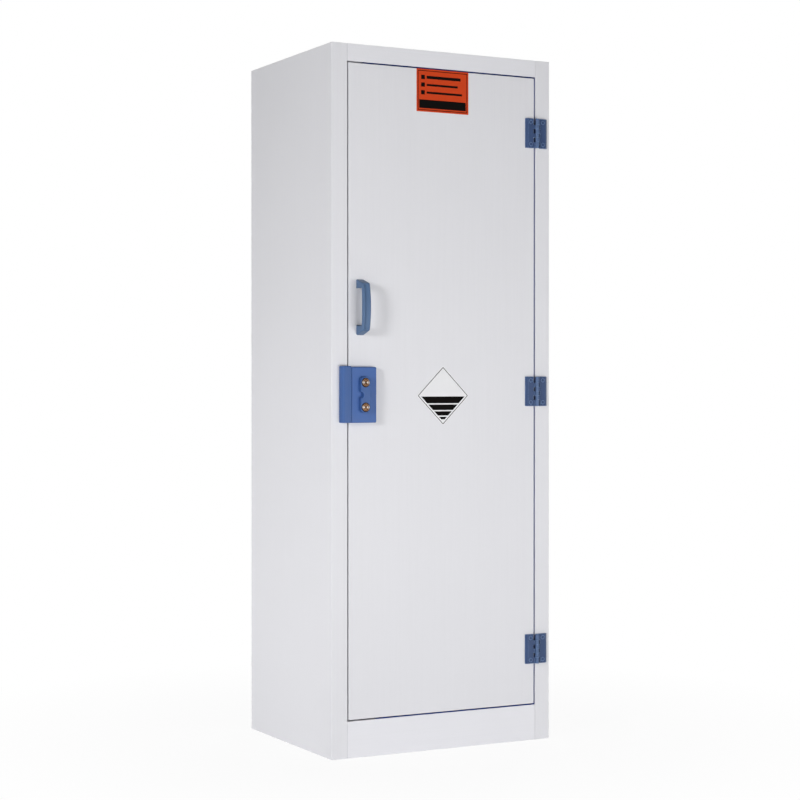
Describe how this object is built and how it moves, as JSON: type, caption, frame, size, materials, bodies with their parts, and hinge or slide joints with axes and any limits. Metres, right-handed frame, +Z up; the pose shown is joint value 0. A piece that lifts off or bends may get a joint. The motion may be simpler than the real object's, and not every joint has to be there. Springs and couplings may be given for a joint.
{
  "type": "reagent cabinet",
  "caption": "Slim floor-standing white plastic reagent cabinet with a hinged flush door, blue surface hinges, pull handle, key lock and spill trays inside.",
  "frame": {"origin": "centre of the carcass footprint, on the floor", "axes": "+X to the right seen from the front, +Y to the back, +Z up; the door faces -Y"},
  "size_m": [0.59, 0.498, 1.65],
  "materials": {
    "white_polypropylene": "smooth white polypropylene sheet with a soft sheen",
    "white_tray": "welded white polypropylene tray",
    "blue_polypropylene": "moulded mid-blue polypropylene, satin",
    "blue_seal_strip": "navy blue flexible sealing strip",
    "brass_lock": "turned brass, lightly dulled",
    "stainless_screw": "stainless steel"
  },
  "bodies": {
    "cabinet": {"back_panel": "white_polypropylene", "base_bearers": "white_polypropylene", "base_panel": "white_polypropylene", "door_stop_bottom": "white_polypropylene", "door_stop_left": "white_polypropylene", "door_stop_right": "white_polypropylene", "door_stop_top": "white_polypropylene", "face_rail_bottom": "white_polypropylene", "face_rail_top": "white_polypropylene", "face_stile_left": "white_polypropylene", "face_stile_right": "white_polypropylene", "hinge_frame_leaf_bottom": "blue_polypropylene", "hinge_frame_leaf_middle": "blue_polypropylene", "hinge_frame_leaf_top": "blue_polypropylene", "hinge_frame_screw_caps": "blue_polypropylene", "hinge_frame_screws": "stainless_screw", "hinge_pin_bottom": "blue_polypropylene", "hinge_pin_middle": "blue_polypropylene", "hinge_pin_top": "blue_polypropylene", "keeper_screws": "stainless_screw", "lock_keeper": "blue_polypropylene", "seal_strip_bottom": "blue_seal_strip", "seal_strip_right": "blue_seal_strip", "seal_strip_top": "blue_seal_strip", "side_panel_left": "white_polypropylene", "side_panel_right": "white_polypropylene", "spill_tray_lower": "white_tray", "spill_tray_middle": "white_tray", "spill_tray_upper": "white_tray", "sump_floor": "white_polypropylene", "top_panel": "white_polypropylene", "tray_ledge_left_lower": "white_polypropylene", "tray_ledge_left_middle": "white_polypropylene", "tray_ledge_left_upper": "white_polypropylene", "tray_ledge_right_lower": "white_polypropylene", "tray_ledge_right_middle": "white_polypropylene", "tray_ledge_right_upper": "white_polypropylene"},
    "door": {"door_core_frame": "white_polypropylene", "door_front_skin": "white_polypropylene", "door_inner_skin": "white_polypropylene", "handle_screws": "stainless_screw", "hinge_door_leaf_bottom": "blue_polypropylene", "hinge_door_leaf_middle": "blue_polypropylene", "hinge_door_leaf_top": "blue_polypropylene", "hinge_door_screw_caps": "blue_polypropylene", "hinge_door_screws": "stainless_screw", "lock_back_plate": "blue_polypropylene", "lock_cylinder_lower": "brass_lock", "lock_cylinder_upper": "brass_lock", "lock_face_plate": "blue_polypropylene", "lock_housing": "blue_polypropylene", "lock_housing_screws": "stainless_screw", "pull_handle": "blue_polypropylene"},
    "lock_plug_lower": {"lock_plug_lower": "brass_lock"},
    "lock_plug_upper": {"lock_plug_upper": "brass_lock"},
    "lock_bolt_lower": {"lock_bolt_lower": "blue_polypropylene"},
    "lock_bolt_upper": {"lock_bolt_upper": "blue_polypropylene"}
  },
  "joints": [
    {"name": "door_hinge", "type": "hinge", "parent": "cabinet", "child": "door", "pos_m": [0.2562, -0.2375, 0.8475], "axis": [0, 0, 1], "range_deg": [0, 180]},
    {"name": "upper_key_turn", "type": "hinge", "parent": "door", "child": "lock_plug_upper", "pos_m": [-0.22, -0.245, 0.8684], "axis": [0, -1, 0], "range_deg": [0, 90]},
    {"name": "lower_key_turn", "type": "hinge", "parent": "door", "child": "lock_plug_lower", "pos_m": [-0.22, -0.245, 0.8114], "axis": [0, -1, 0], "range_deg": [0, 90]},
    {"name": "upper_bolt_slide", "type": "slide", "parent": "door", "child": "lock_bolt_upper", "axis": [-1, 0, 0], "range_m": [0, 0.01131]},
    {"name": "lower_bolt_slide", "type": "slide", "parent": "door", "child": "lock_bolt_lower", "axis": [-1, 0, 0], "range_m": [0, 0.01131]}
  ],
  "couplings": [
    {"joint": "upper_bolt_slide", "follows": "upper_key_turn", "m_per_rad": 0.0072},
    {"joint": "lower_bolt_slide", "follows": "lower_key_turn", "m_per_rad": 0.0072}
  ]
}
